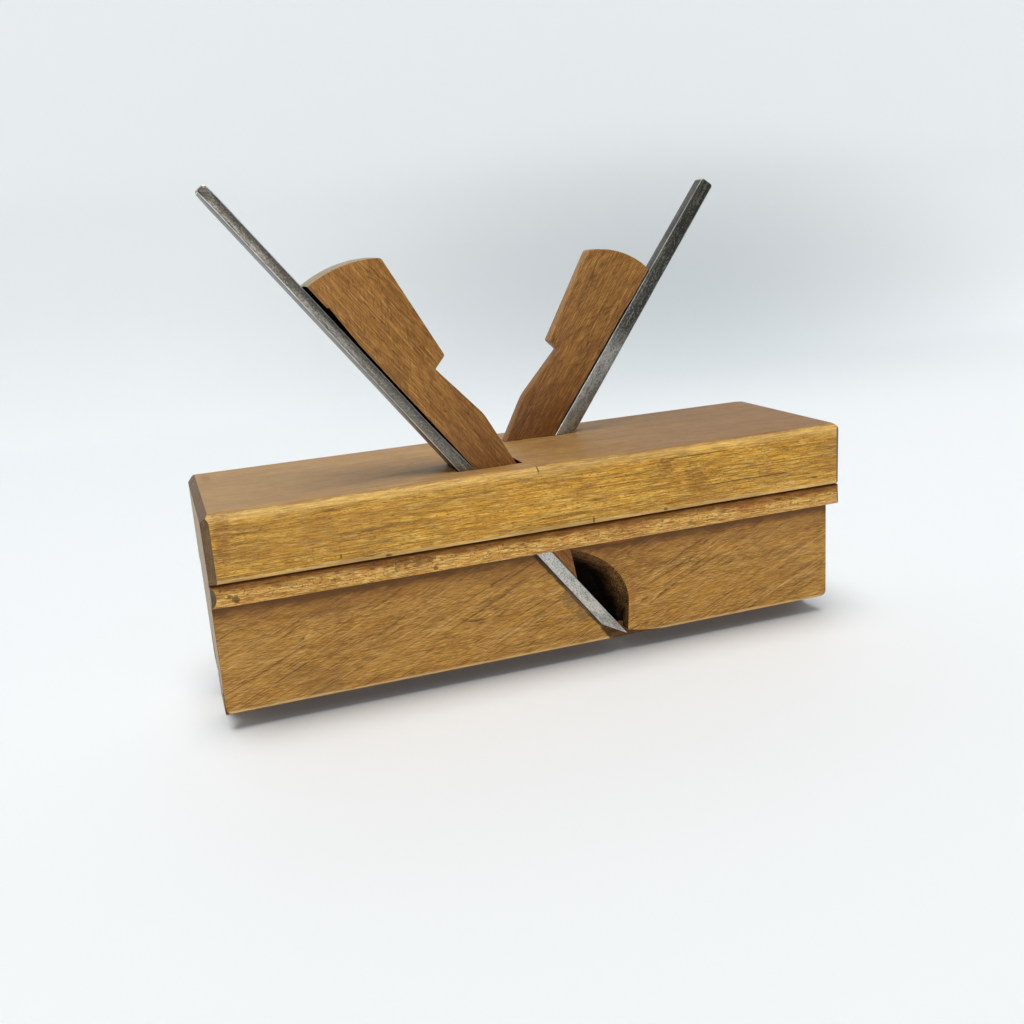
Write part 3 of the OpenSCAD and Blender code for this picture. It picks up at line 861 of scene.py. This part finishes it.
def iron_coats(bed: BedPlane, bright_below: float, bright: str, seed: float) -> tuple[Coat, ...]:
    """Coats of a forged iron.

    Args:
        bed: The plane it lies on.
        bright_below: Height along the bed, in mm, under which handling keeps it brighter.
        bright: Colour of that brighter part.
        seed: Where its patterns are cut from the noise.

    Returns:
        Cross-grinding, pits, bloom and a brighter lower part.
    """
    up = bed.up()
    fades = (bed.level(up, bright_below + 8), bed.level(up, bright_below - 6))
    return (
        Band(bright, tuple(up), rise=fades, share=0.78, wobble=4.0),
        Streaks("#3b3935", size=(12, 3), opens=(0.44, 0.62), share=0.4, detail=5.0, seed=seed),
        Streaks("#b8b6af", size=(14, 0.9), opens=(0.52, 0.66), share=0.3, detail=4.0, seed=seed + 1),
        Streaks("#35322e", size=(0.8, 0.45), opens=(0.50, 0.60), share=0.45, detail=2.0, seed=seed + 2,
                height=-0.3),
        Streaks("#cfcdc6", size=(0.8, 0.45), opens=(0.54, 0.63), share=0.22, detail=2.0, seed=seed + 3),
        Streaks("#1d1916", size=(0.7, 0.6), opens=(0.62, 0.68), share=0.45, detail=1.0, seed=seed + 4,
                height=-0.4),
        Streaks("#5a4330", size=(15, 7), opens=(0.56, 0.72), share=0.35, detail=5.0, seed=seed + 5),
    )


class Skin(IntEnum):
    """The numbers of a cutter set's finishes on the faces of its pieces."""

    PLAIN = 0
    RUBBED = 1
    HEAD = 2
    BACK = 3


@dataclass
class CutterSet:
    """One iron and its wedge; the colours are the finishes' base colours, and sizes are in mm."""

    side: str
    bed: BedPlane
    seed: float
    iron: str
    rubbed_iron: str
    bright_iron: str
    bright_below: float
    wedge: str
    rubbed_wedge: str
    head: str
    iron_arris: float = 0.28
    wedge_arris: float = 0.4
    head_depth: float = 14.0

    def build_iron(self) -> None:
        """Make the forged iron, with its arrises rubbed bright."""
        node = f"{self.side}_iron"
        turn = self.bed.turn
        bm = merged_copy(node)
        for face in ease(bm, self.iron_arris):
            face.material_index = Skin.RUBBED
        coats = iron_coats(self.bed, self.bright_below, self.bright_iron, self.seed)
        finishes = (
            ForgedSteel(f"forged_steel_{node}", self.iron, coats, turn, rough=0.42),
            ForgedSteel(f"rubbed_steel_{node}", self.rubbed_iron, WORN_STEEL, turn, rough=0.35),
        )
        Piece(f"forged_{node}", node, node, node).place(bm, [f.make() for f in finishes])

    def skin(self, face: bmesh.types.BMFace, top: float, near: float) -> Skin | None:
        """Say which finish a face of the wedge gets.

        Args:
            face: The face.
            top: The wedge's highest reach along the bed, in metres.
            near: Its smallest y, in metres.

        Returns:
            The finish's number, or None where it stays as it is.
        """
        slanting, facing, square_on = 0.5, 0.8, 0.9
        up, away = self.bed.up(), self.bed.away()
        centre, normal = face.calc_center_median(), face.normal
        if centre.dot(up) > top - self.head_depth * MM and normal.dot(up) > slanting:
            return Skin.HEAD
        if normal.dot(away) > facing:
            return Skin.RUBBED
        # Faces against the iron and inside the splinter's recess take the back's painted shade.
        in_splinter = normal.y < -square_on and centre.y > near + MM
        return Skin.BACK if normal.dot(away) < -facing or in_splinter else None

    def build_wedge(self) -> None:
        """Make the beech wedge, with end grain on its domed head and a back painted black as shade."""
        node = f"{self.side}_wedge"
        turn = self.bed.turn
        bm = merged_copy(node)
        for face in ease(bm, self.wedge_arris):
            face.material_index = Skin.RUBBED
        top = max(v.co.dot(self.bed.up()) for v in bm.verts)
        near = min(v.co.y for v in bm.verts)
        for face in bm.faces:
            skin = self.skin(face, top, near)
            if skin is not None:
                face.material_index = skin
        rubbed_coats = wedge_coats(self.bed, self.seed + 50)
        finishes = (
            OiledBeech(f"oiled_beech_{node}", self.wedge, wedge_coats(self.bed, self.seed + 10), turn),
            OiledBeech(f"rubbed_beech_{node}", self.rubbed_wedge, rubbed_coats, turn),
            OiledBeech(f"end_grain_{node}", self.head, END_GRAIN.coats, turn, rough=0.6),
            BACK_SHADE_WOOD,
        )
        Piece(f"beech_{node}", node, node, node).place(bm, [f.make() for f in finishes])

    def build(self) -> None:
        """Make both pieces."""
        self.build_iron()
        self.build_wedge()


def cutter_sets() -> list[CutterSet]:
    """The tongue set, with a pale bright iron, and the groove set, with a dark one."""
    tongue = CutterSet(
        "tongue", TONGUE_BED, seed=71.0,
        iron="#6e6a61", rubbed_iron="#dedcd6", bright_iron="#dddcd6", bright_below=-36.0,
        wedge="#9c6a31", rubbed_wedge="#b4854a", head="#a5967a",
    )
    groove = CutterSet(
        "groove", GROOVE_BED, seed=91.0,
        iron="#54534c", rubbed_iron="#cfcdc6", bright_iron="#b4b3ad", bright_below=45.0,
        wedge="#926431", rubbed_wedge="#a87c48", head="#a3824f",
    )
    return [tongue, groove]


@dataclass
class Skate:
    """The two steel plates in the groove side's sole, and their screws; the arris is in mm."""

    arris: float = 0.2

    def build(self) -> None:
        """Make the plates and the screws."""
        plate = ForgedSteel("worn_steel_skate", "#716d66", WORN_STEEL, rough=0.4).make()
        for node in ("front_skate", "rear_skate"):
            bm = merged_copy(node)
            ease(bm, self.arris)
            Piece(f"steel_{node}", "stock", node, "skate").place(bm, [plate])
        screw = ForgedSteel("aged_steel_screw", "#79736a", WORN_STEEL, rough=0.45, relief=0.03).make()
        screws = Piece("slotted_skate_screws", "stock", "skate_screws", "screws")
        screws.place(merged_copy("skate_screws"), [screw])


@dataclass(frozen=True)
class PaintedPaperShade:
    """A painted shade on the paper, soft and darker: its colour, its middle and its half sizes in metres."""

    colour: str
    middle: Sizes
    size: Sizes

    def over(self, graph: Graph, tint: Socket | Colour) -> Socket:
        """Lay the shade over a tint.

        Args:
            graph: The paper's graph.
            tint: The colour under the shade.

        Returns:
            The shaded colour.
        """
        place = graph.add("TexCoord", out=OBJECT_PLACE)
        off = graph.add("VectorMath", {0: place, 1: self.middle}, operation="SUBTRACT")
        off = graph.add("VectorMath", {0: off, 1: self.size}, operation="DIVIDE")
        reach = graph.add("VectorMath", {0: off}, VECTOR_VALUE, operation="LENGTH")
        shade = graph.add("MapRange", {"Value": reach, "From Min": 1.0, "From Max": 0.0}, **SOFTLY)
        mixed = {0: shade, MIX_FIRST: tint, MIX_SECOND: linear(self.colour)}
        return graph.add("Mix", mixed, MIX_RESULT, data_type="RGBA")


@dataclass(frozen=True)
class SoftSun:
    """A large soft light far away.

    It holds the direction from the plane to the light, how wide the light looks in degrees, and
    its power in watts a square metre.
    """

    name: str
    towards: Sizes
    spread: float
    power: float

    def hang(self) -> None:
        """Put the light into the scene."""
        data = bpy.data.lights.new(self.name, "SUN")
        data.angle = math.radians(self.spread)
        data.energy = self.power
        lamp = bpy.data.objects.new(self.name, data)
        lamp.rotation_euler = Vector(self.towards).to_track_quat("Z", "Y").to_euler()
        bpy.context.scene.collection.objects.link(lamp)


@dataclass
class Studio:
    """A pale paper sweep, soft light and the camera at the photograph's angle.

    Angles are in degrees, sizes in metres, and the lens and sensor in mm. The sweep is a floor
    that turns up behind the plane in a bend, and then rises as a wall.
    """

    azimuth: float = -17.966
    elevation: float = 14.770
    roll: float = 4.249
    distance: float = 0.423117
    target: Sizes = (-0.003555, 0.0, 0.05539)
    lens: float = 38.554
    sensor: float = 36.0
    near_clip: float = 0.01
    paper: str = "#f1f4f5"
    shades: tuple[PaintedPaperShade, ...] = (
        # Painted falloff of the light: the paper darkens towards the back and up the wall.
        PaintedPaperShade("#dadee0", middle=(0.0, 0.9, 0.0), size=(3.5, 1.1, 0.26)),
        # Painted shadow: a soft grey cloud behind the plane, as from its own shadow.
        PaintedPaperShade("#c0c6c8", middle=(0.47, 0.85, 0.04), size=(0.62, 0.55, 0.25)),
    )
    half: float = 5.0
    bend_at: float = 0.64
    bend: float = 0.2
    bend_steps: int = 32
    rise: float = 0.75
    room_tint: str = "#f6f8fa"
    room_strength: float = 0.26
    suns: tuple[SoftSun, ...] = (
        SoftSun("far_softbox_overhead", towards=(-0.08, -0.12, 0.95), spread=35.0, power=2.22),
        SoftSun("far_softbox_front", towards=(-0.4, -1.0, 0.1), spread=30.0, power=1.12),
    )

    def camera(self) -> None:
        """Place the camera on its orbit round the target."""
        data = bpy.data.cameras.new("studio_camera")
        data.lens = self.lens
        data.sensor_width = self.sensor
        data.clip_start = self.near_clip
        turn = (
            Matrix.Rotation(math.radians(self.azimuth), 4, "Z")
            @ Matrix.Rotation(math.radians(90 - self.elevation), 4, "X")
            @ Matrix.Rotation(math.radians(-self.roll), 4, "Z")
        )
        eye = bpy.data.objects.new("studio_camera", data)
        eye.matrix_world = Matrix.Translation(self.target) @ turn @ Matrix.Translation((0, 0, self.distance))
        bpy.context.scene.collection.objects.link(eye)
        bpy.context.scene.camera = eye

    def matt_paper(self) -> Material:
        """Wood-pulp paper, uncoated: pale and matt, with painted shade towards the back and behind the plane.
        """
        graph = Graph("matt_studio_paper")
        tint = linear(self.paper)
        for shade in self.shades:
            tint = shade.over(graph, tint)
        paper = {"Base Color": tint, "Roughness": 0.6, "Specular IOR Level": 0.3}
        graph.add("OutputMaterial", {"Surface": graph.add("BsdfPrincipled", paper)})
        return graph.material

    def sweep(self) -> None:
        """Make the paper sweep from its outline, pulled to its full width."""
        bm = bmesh.new()
        front = bm.verts.new((-self.half, -self.half, 0))
        start = bm.verts.new((-self.half, self.bend_at, 0))
        bm.edges.new((front, start))
        bent = bmesh.ops.spin(
            bm, geom=[start], cent=(-self.half, self.bend_at, self.bend), axis=(1, 0, 0),
            angle=math.radians(90), steps=self.bend_steps, use_merge=False, use_duplicate=False,
        )
        tip = next(e for e in bent["geom_last"] if isinstance(e, bmesh.types.BMVert))
        bm.edges.new((tip, bm.verts.new(tip.co + Vector((0, 0, self.rise)))))
        wide = bmesh.ops.extrude_edge_only(bm, edges=list(bm.edges))
        moved = [v for v in wide["geom"] if isinstance(v, bmesh.types.BMVert)]
        bmesh.ops.translate(bm, verts=moved, vec=(2 * self.half, 0, 0))
        bmesh.ops.recalc_face_normals(bm, faces=bm.faces)
        mesh = bpy.data.meshes.new("paper_sweep")
        bm.to_mesh(mesh)
        bm.free()
        mesh.shade_smooth()
        mesh.materials.append(self.matt_paper())
        floor = bpy.data.objects.new("paper_sweep", mesh)
        bpy.context.scene.collection.objects.link(floor)

    def room(self) -> None:
        """Fill the room with even light."""
        world = bpy.data.worlds.new("studio_room")
        world.use_nodes = True
        back = world.node_tree.nodes["Background"]
        back.inputs["Color"].default_value = linear(self.room_tint)
        back.inputs["Strength"].default_value = self.room_strength
        bpy.context.scene.world = world

    def build(self) -> None:
        """Set up the whole studio."""
        self.camera()
        self.sweep()
        self.room()
        for sun in self.suns:
            sun.hang()
        bpy.context.scene.view_settings.view_transform = "Standard"
        log.info("studio with %d soft lights", len(self.suns))


def main() -> None:
    """Build the studio and every piece in order."""
    logging.basicConfig(level=logging.INFO, format="%(name)s %(message)s")
    Studio().build()
    Stock().build()
    for cutters in cutter_sets():
        cutters.build()
    Skate().build()


if __name__ == "__main__":
    main()
